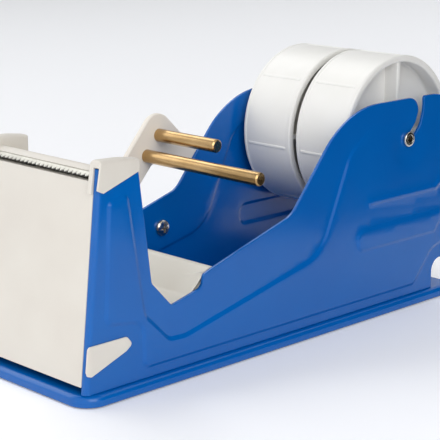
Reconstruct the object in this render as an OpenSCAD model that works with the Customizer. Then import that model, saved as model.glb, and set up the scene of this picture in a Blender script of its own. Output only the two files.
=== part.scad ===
// Bench dispenser for two rolls of packing tape: pressed steel body, moulded head and hubs.
// Millimetres, +Z up. The blade faces -Y, the rolls lie towards +Y, the near side is +X.
// Inside the modules Y = 0 is the front of the side panels' feet and X = 0 the middle
// between them; placed() then moves everything so that the origin is the centre of the
// bottom of the bounding box.

/* [Base] */
// Width of the pressed base pan
base_w = 80; // [78:1:90]
// Length of the base pan
base_l = 234; // [230:1:250]
// Height of the base pan's top above the table
base_h = 5; // [4.5:0.5:7]
// Sheet thickness of the base pan
base_t = 1.2; // [1:0.1:1.6]
// Corner radius of the pan seen from above
base_corner = 10; // [8:1:14]
// Radius of the pan's rounded top edge
base_edge = 2.5; // [2:0.1:3]
// How far the pan reaches in front of the side panels
base_lead = 2.7; // [2:0.1:5]
// Height at which the feet hold the pan's rim off the table
foot_rise = 0.5; // [0.3:0.1:0.9]
// Thickness of the steel ballast plate inside the pan
ballast_t = 2.8; // [2.4:0.1:2.9]
// Diameter of a rubber foot
foot_d = 14; // [10:1:18]

/* [Side panels] */
// Distance between the outer faces of the two side panels
body_w = 74; // [72:1:76]
// Thickness of the side panels' sheet
sheet_t = 1.5; // [1.2:0.1:1.8]
// Height of the panels' long top edge above the table
top_z = 99; // [96:0.5:104]
// Lean of the front edge in degrees
lean = 6; // [4:0.5:7]
// Height of the tower that carries the blade
tower_z = 92.6; // [91:0.2:93]
// Place of the panels' rear edge
rear_y = 231; // [228:1:232]
// Height of the cut-away below the rear end
rear_cut_z = 19; // [16:1:22]
// Place of the front wall of that cut-away
rear_cut_y = 214.3; // [208:0.5:216]
// Depth of the strip folded inwards along the front edge
flange_w = 3.1; // [2.8:0.1:3.3]
// Width of the foot folded inwards onto the base
foot_flange_w = 12; // [10:1:14]
// Depth of the pressed fields
emboss = 0.8; // [0.4:0.1:1]

/* [Axle and hubs] */
// Centre of the hooked slot's arc, from the front
hook_y = 185.6; // [184:0.2:187]
// Centre of the hooked slot's arc, above the table
hook_z = 95.5; // [94:0.5:97]
// Radius of the hooked slot's arc
hook_r = 17; // [16:0.5:18]
// Direction from that centre down to the axle's seat, in degrees below level
seat_angle = 64.2; // [60:0.2:68]
// Diameter of the axle's neck, which lies in the slot
neck_d = 3.7; // [3.4:0.1:4]
// Diameter of the axle between the panels
axle_d = 8; // [7:0.5:9]
// Diameter of the riveted ring at each end of the axle
ring_d = 7; // [6.5:0.5:8]
// Diameter of the hubs, for a 76 mm tape core
hub_d = 75.5; // [74:0.5:76]
// Width of one hub
hub_w = 29.5; // [28:0.5:30]
// Gap between the two hubs
hub_gap = 4; // [3:0.5:5]
// Wall of the hub's rim
hub_rim = 3; // [2.5:0.5:4]
// Depth of the recess in the hub's outer face
hub_recess = 8; // [6:0.5:10]
// Thickness of the hub's web and ribs
hub_web = 2.4; // [2:0.2:3]
// Diameter of the hub's central boss
boss_d = 17; // [15:1:20]
// Number of gripping ridges on the hub
ridges = 8; // [4:1:12]

/* [Head] */
// Wall of the moulded head
plastic_t = 2.5; // [2:0.1:3]
// Height of the lower edge of the front plate
plate_z0 = 8; // [7:0.5:9]
// Height of the front plate's top edge, below the blade
plate_z1 = 87.5; // [87:0.1:88]
// Height of the caps that cover the tower's corners
cap_z = 95.9; // [95:0.1:97]
// How far the caps and ears stand proud of the panels
proud = 0.9; // [0.8:0.1:1.2]
// Thickness of the blade
blade_t = 0.8; // [0.6:0.1:1]
// Spacing of the blade's teeth
tooth_pitch = 2.5; // [2:0.1:3.2]

/* [Arm and rods] */
// Thickness of the moulded arm
arm_t = 2.8; // [2.4:0.1:3.2]
// Diameter of the brass rods
rod_d = 6; // [5:0.5:6.5]
// Axis of the short rod, from the front
short_y = 106; // [105:0.5:107]
// Axis of the short rod, above the table
short_z = 83.6; // [82.6:0.2:84.6]
// Where the short rod ends, from the middle
short_end = 1; // [-2:0.5:4]
// Axis of the long rod, from the front
long_y = 98.5; // [97.5:0.5:99.5]
// Axis of the long rod, above the table
long_z = 75; // [74:0.5:76]
// Where the long rod ends, from the middle
long_end = 34.5; // [30:0.5:35]

/* [Hidden] */
$fn = 48;

// Colours of the finished pieces
BLUE = [0.0, 0.33, 0.68];
WHITE = [0.91, 0.89, 0.86];
HUB_WHITE = [0.96, 0.955, 0.94];
BRASS = [0.79, 0.63, 0.38];
STEEL = [0.72, 0.72, 0.70];
DARK_STEEL = [0.35, 0.35, 0.36];
RUBBER = [0.12, 0.12, 0.12];

// Clearances
fit = 0.15;        // between a moulding and the sheet that it clips on
slot_gap = 0.1;    // between the axle's neck and one side of its slot
run = 0.05;        // radial running clearance of the hubs on the axle
play = 0.1;        // end play of each piece on the axle
hole_gap = 0.1;    // radial clearance of a screw or rivet in its hole

// Main faces
out_x = body_w / 2;               // outer face of a side panel
in_x = out_x - sheet_t;           // inner face of a side panel
flange_x = out_x - flange_w;      // inner edge of the folded front strip
base_front = -base_lead;
base_rear = base_l - base_lead;
pan_under = base_h - base_t;      // underside of the pan's top
skin_x = out_x + proud;           // outer face of the caps and ears

// Axle and hubs
seat_y = hook_y + hook_r * cos(seat_angle);
seat_z = hook_z - hook_r * sin(seat_angle);
slot_half = neck_d / 2 + slot_gap;
hub_r = hub_d / 2;
ridge_r = 0.9;                    // radius of a gripping ridge
ridge_up = 0.3;                   // how far it stands out of the rim
hub_in = hub_gap / 2;             // inner face of a hub, from the middle
hub_out = hub_in + hub_w;
lip_w = 1.4;                      // raised lip along both edges of the rim
lip_h = 0.3;
ring_t = 2.1;                     // thickness of the riveted ring
ring_x = out_x + fit;             // inner face of the riveted ring
tube_r = 1.35;                    // bore of the axle's riveted end

// Lips of the hooked slot's mouth
lip_front_r = 6.5;
lip_rear_r = 1.5;

// Arm screws: visible one first; their heads are inside the far panel
ARM_HOLES = [[105.7, 40.7], [76, 35]];
screw_r = 2;                      // M4 shank
screw_head_r = 3.8;
screw_head_h = 2.3;
nut_af = 7;                       // width across the nut's flats
nut_h = 2.4;
rod_screw_r = 1.5;
rod_screw_head_r = 3;
rod_screw_head_h = 1.8;
rod_screw_depth = 8;              // how far it goes into the rod

// Rivets that hold the folded feet to the pan
RIVET_Y = [45, 115, 195];
rivet_r = 1.6;
rivet_x = in_x - foot_flange_w / 2;
rivet_head_r = 3.2;
rivet_head_h = 1.2;
rivet_tail_r = 2.5;
rivet_tail_h = 1.4;

// The whole part's reach, for the origin
x_min = -(out_x + arm_t + nut_h);
x_max = base_w / 2;
y_max = max(base_rear, rear_y, seat_y + hub_r + ridge_up);

module placed() {
    translate([-(x_min + x_max) / 2, -(base_front + y_max) / 2, 0]) children();
}

// A profile drawn in (Y, Z), carried along X from x0 to x1
module along_x(x0, x1) {
    translate([x0, 0, 0]) rotate([90, 0, 90]) linear_extrude(x1 - x0) children();
}

// A round bar, disc or hole along X
module rod_x(x0, x1, r, y, z) {
    translate([x0, y, z]) rotate([0, 90, 0]) cylinder(h = x1 - x0, r = r);
}

// Outline whose corners [y, z, r] are rounded with arcs of radius r
function flat2(p) = [p[0], p[1]];
function unit(v) = v / norm(v);
function arc_points(m, r, a, sweep, step = 12) =
    let (n = max(2, ceil(abs(sweep) / step)))
    [for (i = [0:n]) m + r * [cos(a + sweep * i / n), sin(a + sweep * i / n)]];
function rest(points) = [for (i = [1:len(points) - 1]) points[i]];
function wrap180(a) = a > 180 ? a - 360 : a < -180 ? a + 360 : a;
function corner(a, p, c) =
    p[2] == 0 ? [flat2(p)] :
    let (u = unit(flat2(a) - flat2(p)),
         w = unit(flat2(c) - flat2(p)),
         half = acos(u * w) / 2,
         m = flat2(p) + unit(u + w) * p[2] / sin(half),
         s = flat2(p) + u * p[2] / tan(half) - m,
         e = flat2(p) + w * p[2] / tan(half) - m,
         a0 = atan2(s[1], s[0]),
         a1 = atan2(e[1], e[0]))
    arc_points(m, p[2], a0, wrap180(a1 - a0));
function rounded(pts) =
    let (n = len(pts))
    [for (i = [0:n - 1]) each corner(pts[(i + n - 1) % n], pts[i], pts[(i + 1) % n])];

// A wall of thickness t on the left of an open path of corners [y, z, r]
function left_of(v) = [-v[1], v[0]];
function mitre(path, i, t) =
    let (n = len(path),
         d0 = i > 0 ? unit(flat2(path[i]) - flat2(path[i - 1])) : undef,
         d1 = i < n - 1 ? unit(flat2(path[i + 1]) - flat2(path[i])) : undef,
         n0 = left_of(i > 0 ? d0 : d1),
         n1 = left_of(i < n - 1 ? d1 : d0),
         q = flat2(path[i]) + (n0 + n1) / (1 + n0 * n1) * t,
         turn = (i > 0 && i < n - 1) ? d0[0] * d1[1] - d0[1] * d1[0] : 0,
         r = path[i][2] == 0 ? 0 : max(0.3, path[i][2] - t * sign(turn)))
    [q[0], q[1], r];
function wall(path, t) =
    concat(path, [for (i = [len(path) - 1:-1:0]) mitre(path, i, t)]);

// Place of the leaning front edge at height z
function front_at(z) = (z - base_h) * tan(lean);

// ---------------------------------------------------------------- base

// Rounded slab whose top edge is rounded too, as a pressed pan is
module pan_slab(w, l, h, corner_r, edge_r) {
    module edge_profile() {
        square([corner_r - edge_r, h]);
        square([corner_r, h - edge_r]);
        translate([corner_r - edge_r, h - edge_r]) circle(r = edge_r);
    }
    cx = w / 2 - corner_r;
    cy = l / 2 - corner_r;
    translate([-cx, -cy, 0]) cube([2 * cx, 2 * cy, h]);
    for (k = [0:3]) {
        sx = (k == 0 || k == 3) ? cx : -cx;
        sy = k < 2 ? cy : -cy;
        run_l = k % 2 == 0 ? 2 * cy : 2 * cx;
        translate([sx, sy, 0]) rotate([0, 0, 90 * k]) {
            rotate_extrude(angle = 90) intersection() {
                edge_profile();
                square([corner_r, h]);
            }
            rotate([90, 0, 0]) linear_extrude(run_l) intersection() {
                edge_profile();
                square([corner_r, h]);
            }
        }
    }
}

module rivet_places() {
    for (s = [-1, 1], y = RIVET_Y) translate([s * rivet_x, y, 0]) children();
}

module base_pan() placed() color(BLUE) difference() {
    translate([0, (base_front + base_rear) / 2, foot_rise])
        pan_slab(base_w, base_l, base_h - foot_rise, base_corner, base_edge);
    translate([0, (base_front + base_rear) / 2, foot_rise - 1])
        pan_slab(base_w - 2 * base_t, base_l - 2 * base_t, base_h - base_t - foot_rise + 1,
                 base_corner - base_t, base_edge - base_t);
    rivet_places() cylinder(h = base_h + 1, r = rivet_r + hole_gap);
}

module ballast_plate() placed() color(DARK_STEEL) difference() {
    side = base_edge + base_t;
    translate([-base_w / 2 + side, base_front + side, pan_under - ballast_t])
        cube([base_w - 2 * side, base_l - 2 * side, ballast_t]);
    rivet_places() cylinder(h = base_h + 1, r = rivet_tail_r + 1);
}

module rubber_feet() placed() color(RUBBER) {
    inset = base_corner + foot_d / 2;
    for (s = [-1, 1], y = [base_front + inset, base_rear - inset])
        translate([s * (base_w / 2 - inset), y, 0])
            cylinder(h = pan_under - ballast_t, r = foot_d / 2);
}

module foot_rivets() placed() color(STEEL) rivet_places() {
    translate([0, 0, pan_under - rivet_tail_h]) cylinder(h = rivet_tail_h, r = rivet_tail_r);
    translate([0, 0, pan_under - rivet_tail_h])
        cylinder(h = rivet_tail_h + base_t + sheet_t + rivet_head_h / 2, r = rivet_r);
    translate([0, 0, base_h + sheet_t])
        cylinder(h = rivet_head_h, r1 = rivet_head_r, r2 = rivet_head_r * 0.6);
}

// ---------------------------------------------------------------- side panels

// Side view of a panel: tower, finger notch, slope, long top edge and rear cut-away
PANEL = [
    [front_at(base_h), base_h, 0],
    [front_at(tower_z), tower_z, 1.5],
    [28, tower_z, 1.5],
    [34.6, 43.4, 3],
    [45.2, 32.2, 2],
    [62, 36.3, 2],
    [62.9, 41.4, 1.5],
    [67.9, 43.2, 3],
    [115.4, 57.3, 12],
    [150.4, top_z, 47],
    [rear_y, top_z, 20],
    [rear_y, rear_cut_z, 3],
    [rear_cut_y, rear_cut_z, 6],
    [rear_cut_y, base_h, 0]
];

// Main pressed field, which follows the outline at a distance and leaves the axle's seat flat
FIELD = [
    [12.2, 79.8, 3],
    [22.8, 82.3, 3],
    [28.9, 45, 8],
    [31.2, 31.5, 6],
    [43.5, 19.4, 5],
    [52, 19, 12],
    [133.1, 37.1, 20],
    [151.5, 79.4, 15],
    [166, top_z - 10, 10],
    [seat_y - 8, top_z - 10, 4],
    [seat_y - 8, seat_z - 7, 6],
    [seat_y + 15, seat_z - 7, 8],
    [seat_y + 15, top_z - 10, 4],
    [rear_y - 8, top_z - 10, 6],
    [rear_y - 8, rear_cut_z + 8, 3],
    [rear_cut_y - 1, rear_cut_z + 5, 8],
    [rear_cut_y - 14, base_h + 4, 3],
    [29, base_h + 4, 4],
    [29, 28, 5],
    [9.6, 31, 4]
];

// Raised bar and bead that stiffen the rear half of the panel
BAR = [
    [157, 32.3, 5],
    [157, 43.5, 5],
    [219, 43.5, 2],
    [219, 38, 1],
    [214, 32.3, 2]
];
BEAD = wall([[165, 53.2, 0], [214.6, 53.2, 2], [220.5, 57.6, 0]], 3.4);

// Side view of the moulded ear in the panel's front window
EAR = [
    [0.5, 13.6, 1],
    [-0.2, 15.5, 1],
    [0.9, 24.9, 1.5],
    [21.2, 24.9, 2],
    [24, 21.2, 1.5],
    [20.6, 18.9, 1.5],
    [3, 12.4, 1]
];

// Hooked slot, from its two rounded lips at the top edge down to the axle's seat
module slot_outline() {
    centre = [hook_y, hook_z];
    outer_r = hook_r + slot_half;
    inner_r = hook_r - slot_half;
    front_lip_z = top_z - lip_front_r;
    rear_lip_z = top_z - lip_rear_r;
    front_a = asin((front_lip_z - hook_z) / inner_r);
    rear_a = asin((rear_lip_z - hook_z) / outer_r);
    front_lip_y = hook_y + inner_r * cos(front_a) - lip_front_r;
    rear_lip_y = hook_y + outer_r * cos(rear_a) + lip_rear_r;
    polygon(concat(
        [[front_lip_y, top_z + 1], [rear_lip_y, top_z + 1]],
        arc_points([rear_lip_y, rear_lip_z], lip_rear_r, 90, 90),
        rest(arc_points(centre, outer_r, rear_a, -seat_angle - rear_a, 4)),
        rest(arc_points([seat_y, seat_z], slot_half, -seat_angle, -180)),
        rest(arc_points(centre, inner_r, -seat_angle, seat_angle + front_a, 4)),
        rest(arc_points([front_lip_y, front_lip_z], lip_front_r, 0, 90))
    ));
}

module panel_outline() {
    difference() {
        polygon(rounded(PANEL));
        slot_outline();
        offset(delta = fit) polygon(rounded(EAR));
    }
}

// Sheet of a panel, with the strip folded inwards along its leaning front edge
module folded_sheet() {
    bend = sheet_t + 0.8;         // outer radius of the fold
    centre = [out_x - bend, bend];
    back = rear_y + 20;
    intersection() {
        translate([0, 0, base_h]) rotate([-lean, 0, 0]) translate([0, 0, -10])
            linear_extrude(tower_z + 50) polygon(concat(
                [[flange_x, sheet_t], [flange_x, 0]],
                arc_points(centre, bend, -90, 90),
                [[out_x, back], [in_x, back]],
                arc_points(centre, bend - sheet_t, 0, -90)
            ));
        along_x(flange_x, out_x) panel_outline();
    }
}

module side_panel(holes) {
    root = 0.3;                   // how deep a raised field's solid starts inside the sheet
    difference() {
        union() {
            folded_sheet();
            along_x(out_x - root, out_x + emboss / 2) polygon(rounded(FIELD));
            along_x(out_x - root, out_x + emboss) offset(delta = -emboss) polygon(rounded(FIELD));
            along_x(out_x + root, out_x + 1.5 * emboss) polygon(rounded(BAR));
            along_x(out_x + root, out_x + 2 * emboss) offset(delta = -emboss) polygon(rounded(BAR));
            along_x(out_x + root, out_x + 1.6 * emboss) polygon(rounded(BEAD));
            translate([in_x - foot_flange_w, 26, base_h])
                cube([foot_flange_w + sheet_t / 2, rear_cut_y - 36, sheet_t]);
        }
        along_x(in_x - 1, in_x + emboss) offset(delta = -1.5 * emboss) polygon(rounded(FIELD));
        along_x(in_x - 1, in_x + 2 * emboss) offset(delta = -2 * emboss) polygon(rounded(BAR));
        for (h = holes) rod_x(in_x - 1, out_x + 1, screw_r + hole_gap, h[0], h[1]);
        for (y = RIVET_Y) translate([rivet_x, y, 0])
            cylinder(h = base_h + sheet_t + 1, r = rivet_r + hole_gap);
    }
}

module side_panel_right() placed() color(BLUE) side_panel([]);

module side_panel_left() placed() color(BLUE) mirror([1, 0, 0]) side_panel(ARM_HOLES);

// ---------------------------------------------------------------- head

// Side view of a cap
CAP = [
    [7.2, 85, 1.5],
    [8.4, cap_z - 3, 0.8],
    [8.6, cap_z, 0.8],
    [21, cap_z - 0.3, 3],
    [28.6, cap_z - 1.8, 1],
    [27.6, 89.5, 1],
    [9.9, 83.5, 1.5]
];
cap_in = flange_x - 2.2;          // inner wall of a cap, beside the blade
web_in = flange_x - 0.6;          // inner face of the moulding's side webs
web_out = in_x - fit;
// Top of the platform that the tape sticks to: front edge, crest, rear edge
PLATFORM = [[8.6, 90.9, 0], [13.5, 92, 6], [27.4, 89.6, 1], [27.4, 86.2, 0]];
platform_t = 1.6;
blade_top = 90;                   // upper face of the blade's flat part
peg_r = 1.5;
PEG_X = [-22, 0, 22];
peg_y = 15.5;
peg_len = 3.6;

module ear_block() {
    intersection() {
        along_x(web_in, skin_x) polygon(rounded(EAR));
        // bevel of the ear's front end
        linear_extrude(60) polygon([
            [web_in, -5], [out_x - 0.6, -5], [skin_x, 1.2], [skin_x, 40], [web_in, 40]
        ]);
    }
}

// One side of the head: cap, side web and ear
module head_side() {
    difference() {
        union() {
            along_x(cap_in, skin_x) polygon(rounded(CAP));
            along_x(cap_in, web_out) polygon([
                [front_at(plate_z0) + 1.9, plate_z0 + 4],
                [front_at(92) + 1.9, 92],
                [24.6, 92],
                [26, plate_z0 + 4]
            ]);
            along_x(cap_in, flange_x - fit) polygon([
                [front_at(plate_z0), plate_z0],
                [front_at(93), 93],
                [front_at(93) + 3, 93],
                [front_at(plate_z0) + 3, plate_z0]
            ]);
        }
        // room for the panel's tower, its folded strip and, behind it, its inner face
        along_x(web_out, out_x + fit) offset(delta = fit) polygon(rounded(PANEL));
        along_x(flange_x - fit, out_x + fit) difference() {
            offset(delta = fit) polygon(rounded(PANEL));
            translate([0, base_h]) rotate(-lean) translate([sheet_t + 3, -10])
                square([60, 200]);
        }
        // hollow behind the side web
        along_x(cap_in - 1, web_in) polygon([
            [front_at(plate_z0) + plastic_t, 0],
            [front_at(plate_z1 - 3) + plastic_t, plate_z1 - 3],
            [40, plate_z1 - 3],
            [40, 0]
        ]);
    }
    ear_block();
}

module front_cover() placed() color(WHITE) {
    difference() {
        union() {
            // front plate, flush with the folded strips of the panels
            along_x(-cap_in - 0.1, cap_in + 0.1) polygon([
                [front_at(plate_z0), plate_z0],
                [front_at(plate_z1), plate_z1],
                [front_at(plate_z1) + plastic_t, plate_z1],
                [front_at(plate_z0) + plastic_t, plate_z0]
            ]);
            along_x(-cap_in - 0.1, cap_in + 0.1)
                polygon(rounded(wall(PLATFORM, -platform_t)));
            for (s = [0, 1]) mirror([s, 0, 0]) head_side();
            // ribs that carry the platform on the plate
            for (x = [-11, 11]) along_x(x - 0.8, x + 0.8) polygon([
                [front_at(60) + 1, 60],
                [front_at(86) + 1, 86],
                [24, 86],
                [24, 90.2 - platform_t],
                [26.5, 89.6 - platform_t],
                [26.5, 84]
            ]);
        }
        // pocket for the blade, open to the front
        translate([-cap_in, 0, plate_z1]) cube([2 * cap_in, 23, blade_top - plate_z1]);
    }
    // pegs that pass through the blade
    for (x = PEG_X) translate([x, peg_y, blade_top - peg_len])
        cylinder(h = peg_len + platform_t / 2, r = peg_r);
}

// Toothed strip: a flat part under the platform and a front part bent down
blade_x = cap_in - 0.2;
BLADE_PATH = [[22.6, blade_top, 0], [9.2, blade_top, 0.6], [7.4, blade_top - 0.84, 0]];
bite = 25;                        // slope of the bent front part in degrees
tooth_h = 1.9;

module blade() placed() color(STEEL) {
    difference() {
        along_x(-blade_x, blade_x) polygon(rounded(wall(BLADE_PATH, blade_t)));
        for (x = PEG_X) translate([x, peg_y, blade_top - 5]) cylinder(h = 10, r = peg_r + hole_gap);
    }
    n = floor(2 * blade_x / tooth_pitch);
    translate([0, 7.4, blade_top - 0.84]) rotate([bite, 0, 0]) translate([0, 0, -blade_t])
        linear_extrude(blade_t) for (i = [0:n - 1]) {
            x = (i - n / 2) * tooth_pitch;
            polygon([[x, 0.1], [x, 0], [x + tooth_pitch / 2, -tooth_h], [x + tooth_pitch, 0],
                     [x + tooth_pitch, 0.1]]);
        }
}

module blade_retainers() placed() color(STEEL) for (x = PEG_X)
    translate([x, peg_y, blade_top - blade_t - 0.6]) difference() {
        cylinder(h = 0.6, r = 3.4);
        translate([0, 0, -1]) cylinder(h = 3, r = peg_r + 0.02);
    }

// Trough behind the tower, into which the fingers reach
SCOOP = [
    [28.4, 85.6, 0],
    [33.2, 46, 9],
    [45.5, 31.2, 6],
    [55.5, 33.4, 4],
    [66.5, 43.6, 3],
    [70.2, 43.2, 1.5],
    [71.2, 38, 0]
];
scoop_t = 2;

module rear_scoop() placed() color(WHITE) {
    half = in_x - fit;
    along_x(-half, half) polygon(rounded(wall(SCOOP, -scoop_t)));
    // ribs below the trough that stand on the base
    for (x = [-18, 0, 18]) along_x(x - 1, x + 1) polygon([
        [38, base_h], [36, 38], [44.6, 31.2 - scoop_t + 0.4], [55.6, 32.2], [62, 37], [62, base_h]
    ]);
}

// ---------------------------------------------------------------- arm and rods

ARM = [
    [64, 25.5, 8],
    [56.5, 41.5, 10],
    [104.9, 97.2, 8.6],
    [138, 65.8, 8],
    [124, 43.5, 8],
    [109, 33.2, 8]
];
ARM_WINDOW = [
    [102.1, 70.7, 3],
    [124.5, 66, 3],
    [121, 52.5, 3],
    [112, 50, 6],
    [78.6, 44.4, 3]
];

module arm_plate() placed() color(WHITE) difference() {
    along_x(-out_x - arm_t, -out_x) difference() {
        polygon(rounded(ARM));
        polygon(rounded(ARM_WINDOW));
    }
    for (h = ARM_HOLES) rod_x(-out_x - arm_t - 1, -out_x + 1, screw_r + hole_gap, h[0], h[1]);
    for (p = [[short_y, short_z], [long_y, long_z]])
        rod_x(-out_x - arm_t - 1, -out_x + 1, rod_screw_r + hole_gap, p[0], p[1]);
}

// Pan-head screw: the head's edge is a quarter round
module arm_screws() placed() color(STEEL) for (h = ARM_HOLES) {
    edge = screw_head_h - 0.5;
    rod_x(-out_x - arm_t - nut_h, -in_x + 0.2, screw_r, h[0], h[1]);
    translate([-in_x, h[0], h[1]]) rotate([0, 90, 0]) rotate_extrude() intersection() {
        union() {
            square([screw_head_r, screw_head_h - edge]);
            square([screw_head_r - edge, screw_head_h]);
            translate([screw_head_r - edge, screw_head_h - edge]) circle(r = edge);
        }
        square([screw_head_r, screw_head_h]);
    }
}

module arm_nuts() placed() color(STEEL) for (h = ARM_HOLES) difference() {
    translate([-out_x - arm_t - nut_h, h[0], h[1]]) rotate([0, 90, 0])
        cylinder(h = nut_h, r = nut_af / 2 / cos(30), $fn = 6);
    rod_x(-out_x - arm_t - nut_h - 1, -out_x, screw_r + 0.01, h[0], h[1]);
}

// Brass rod with chamfered free end, tapped for its screw
module guide_rod(y, z, end) {
    chamfer = 0.6;
    difference() {
        union() {
            rod_x(-out_x, end - chamfer, rod_d / 2, y, z);
            translate([end - chamfer, y, z]) rotate([0, 90, 0])
                cylinder(h = chamfer, r1 = rod_d / 2, r2 = rod_d / 2 - chamfer);
        }
        rod_x(-out_x - 1, -out_x + rod_screw_depth, rod_screw_r + 0.01, y, z);
    }
}

module short_rod() placed() color(BRASS) guide_rod(short_y, short_z, short_end);

module long_rod() placed() color(BRASS) guide_rod(long_y, long_z, long_end);

module rod_screws() placed() color(STEEL)
    for (p = [[short_y, short_z], [long_y, long_z]]) {
        rod_x(-out_x - arm_t - 0.5, -out_x + rod_screw_depth - 0.5, rod_screw_r, p[0], p[1]);
        rod_x(-out_x - arm_t - rod_screw_head_h, -out_x - arm_t, rod_screw_head_r, p[0], p[1]);
    }

// ---------------------------------------------------------------- axle and hubs

module axle() placed() color(STEEL) {
    shoulder = in_x - fit;
    end_x = ring_x + ring_t + 0.3;
    difference() {
        union() {
            rod_x(-shoulder, shoulder, axle_d / 2, seat_y, seat_z);
            rod_x(-end_x, end_x, neck_d / 2, seat_y, seat_z);
        }
        for (s = [0, 1]) mirror([s, 0, 0])
            rod_x(end_x - 5, end_x + 1, tube_r, seat_y, seat_z);
    }
}

// Ring riveted over the end of the axle, rounded outside
module axle_ring() {
    r = ring_d / 2;
    translate([ring_x, seat_y, seat_z]) rotate([0, 90, 0]) rotate_extrude() difference() {
        union() {
            square([r, ring_t - 1]);
            square([r - 1, ring_t]);
            translate([r - 1, ring_t - 1]) circle(r = 1);
        }
        translate([-r, -1]) square([r + neck_d / 2 + 0.02, ring_t + 3]);
    }
}

module axle_ring_right() placed() color(STEEL) axle_ring();

module axle_ring_left() placed() color(STEEL) mirror([1, 0, 0]) axle_ring();

// Sleeve on the axle from x0 to x1
module sleeve(x0, x1, r) {
    difference() {
        rod_x(x0, x1, r, seat_y, seat_z);
        rod_x(x0 - 1, x1 + 1, axle_d / 2 + run, seat_y, seat_z);
    }
}

module spacer_right() placed() color(WHITE) sleeve(hub_out + play, in_x - fit, 6.5);

module spacer_left() placed() color(WHITE) mirror([1, 0, 0])
    sleeve(hub_out + play, in_x - fit, 6.5);

module centre_collar() placed() color(WHITE) sleeve(play - hub_in, hub_in - play, 7.5);

// Moulded hub: rim with lips and gripping ridges, web, boss and four ribs on each face
module hub() {
    translate([hub_in, seat_y, seat_z]) rotate([90, 0, 90]) difference() {
        union() {
            rotate_extrude() {
                translate([hub_r - hub_rim, 0]) square([hub_rim, hub_w]);
                for (z = [0, hub_w - lip_w]) translate([hub_r - 1, z]) polygon([
                    [0, 0], [1 + lip_h - 0.3, 0], [1 + lip_h, 0.3],
                    [1 + lip_h, lip_w - 0.3], [1, lip_w], [0, lip_w]
                ]);
                translate([0, hub_w - hub_recess - hub_web]) square([hub_r - 1, hub_web]);
                square([boss_d / 2, hub_w]);
            }
            for (a = [0:90:270]) rotate(a) translate([boss_d / 2 - 1, -hub_web / 2, 0.8])
                cube([hub_r - hub_rim - boss_d / 2 + 2, hub_web, hub_w - 1.6]);
            for (i = [0:ridges - 1]) rotate(i * 360 / ridges + 17)
                translate([hub_r + ridge_up - ridge_r, 0, 2.4])
                    cylinder(h = hub_w - 4.8, r = ridge_r);
        }
        translate([0, 0, -1]) cylinder(h = hub_w + 2, r = axle_d / 2 + run);
    }
}

module hub_near() placed() color(HUB_WHITE) hub();

module hub_far() placed() color(HUB_WHITE) mirror([1, 0, 0]) hub();

base_pan();
ballast_plate();
rubber_feet();
foot_rivets();
side_panel_right();
side_panel_left();
front_cover();
blade();
blade_retainers();
rear_scoop();
arm_plate();
arm_screws();
arm_nuts();
short_rod();
long_rod();
rod_screws();
axle();
axle_ring_right();
axle_ring_left();
spacer_right();
spacer_left();
centre_collar();
hub_near();
hub_far();
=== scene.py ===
"""Looks of a bench dispenser for two rolls of packing tape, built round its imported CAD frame.

Everything is worked out in the maker's millimetres: Y = 0 is the front foot of the side
panels, X = 0 the middle between them, Z = 0 the table. to_row() then moves it into the
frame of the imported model, in metres.
"""

import math

import bpy
import numpy as np
from mathutils import Matrix, Vector
from mathutils.geometry import delaunay_2d_cdt


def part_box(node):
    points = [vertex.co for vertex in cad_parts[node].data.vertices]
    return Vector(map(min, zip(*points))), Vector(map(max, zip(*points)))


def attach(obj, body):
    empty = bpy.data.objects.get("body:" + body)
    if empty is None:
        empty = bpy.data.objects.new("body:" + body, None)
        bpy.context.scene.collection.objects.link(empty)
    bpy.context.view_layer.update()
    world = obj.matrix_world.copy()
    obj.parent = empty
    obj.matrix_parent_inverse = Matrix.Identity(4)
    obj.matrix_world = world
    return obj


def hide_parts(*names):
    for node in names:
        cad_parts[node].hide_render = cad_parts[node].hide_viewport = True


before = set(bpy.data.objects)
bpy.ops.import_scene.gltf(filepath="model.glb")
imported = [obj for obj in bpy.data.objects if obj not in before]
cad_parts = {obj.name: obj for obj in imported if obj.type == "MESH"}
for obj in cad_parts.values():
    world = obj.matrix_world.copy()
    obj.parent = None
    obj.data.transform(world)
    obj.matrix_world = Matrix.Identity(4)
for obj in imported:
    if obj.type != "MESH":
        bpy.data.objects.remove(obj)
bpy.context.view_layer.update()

# ------------------------------------------------------------------ measures, millimetres

# base pan: width, top, sheet, reach before the panels; corners, rolled edge, rim above the table
BASE_W, BASE_H, BASE_T, BASE_LEAD = 80.0, 5.0, 1.2, 2.7
BASE_CORNER, BASE_EDGE, FOOT_RISE = 10.0, 2.5, 0.5
# panels: width over both, sheet, long top edge, lean of the front, top of the tower
BODY_W, SHEET, TOP_Z, LEAN, TOWER_Z = 74.0, 1.5, 99.0, math.radians(6.0), 92.6
# rear edge, height and front wall of the cut-away below it, widths of the folded front and foot
REAR_Y, REAR_CUT_Z, REAR_CUT_Y, FLANGE_W, FOOT_FLANGE = 231.0, 19.0, 214.3, 3.1, 12.0
OUT_X, IN_X, FLANGE_X = BODY_W / 2, BODY_W / 2 - SHEET, BODY_W / 2 - FLANGE_W
# outer face of the moulded caps and ears, and the gap between pieces that fit together
SKIN_X, FIT = BODY_W / 2 + 0.9, 0.15
# hooked slot: centre and radius of its arc, direction down to the axle's seat, half its width
HOOK = np.array([185.6, 95.5])
HOOK_R, SEAT_ANGLE, SLOT_HALF = 17.0, math.radians(64.2), 1.95
SEAT = HOOK + HOOK_R * np.array([math.cos(SEAT_ANGLE), -math.sin(SEAT_ANGLE)])
# hubs: radius, width, inner face, rim, web and ribs, recess, boss; bore, lip over the rim
HUB_R, HUB_W, HUB_IN, HUB_RIM, HUB_WEB, HUB_RECESS, BOSS_R = 37.75, 29.5, 2.0, 3.0, 2.4, 8.0, 8.5
HUB_BORE, HUB_LIP = 4.05, 0.27
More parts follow.
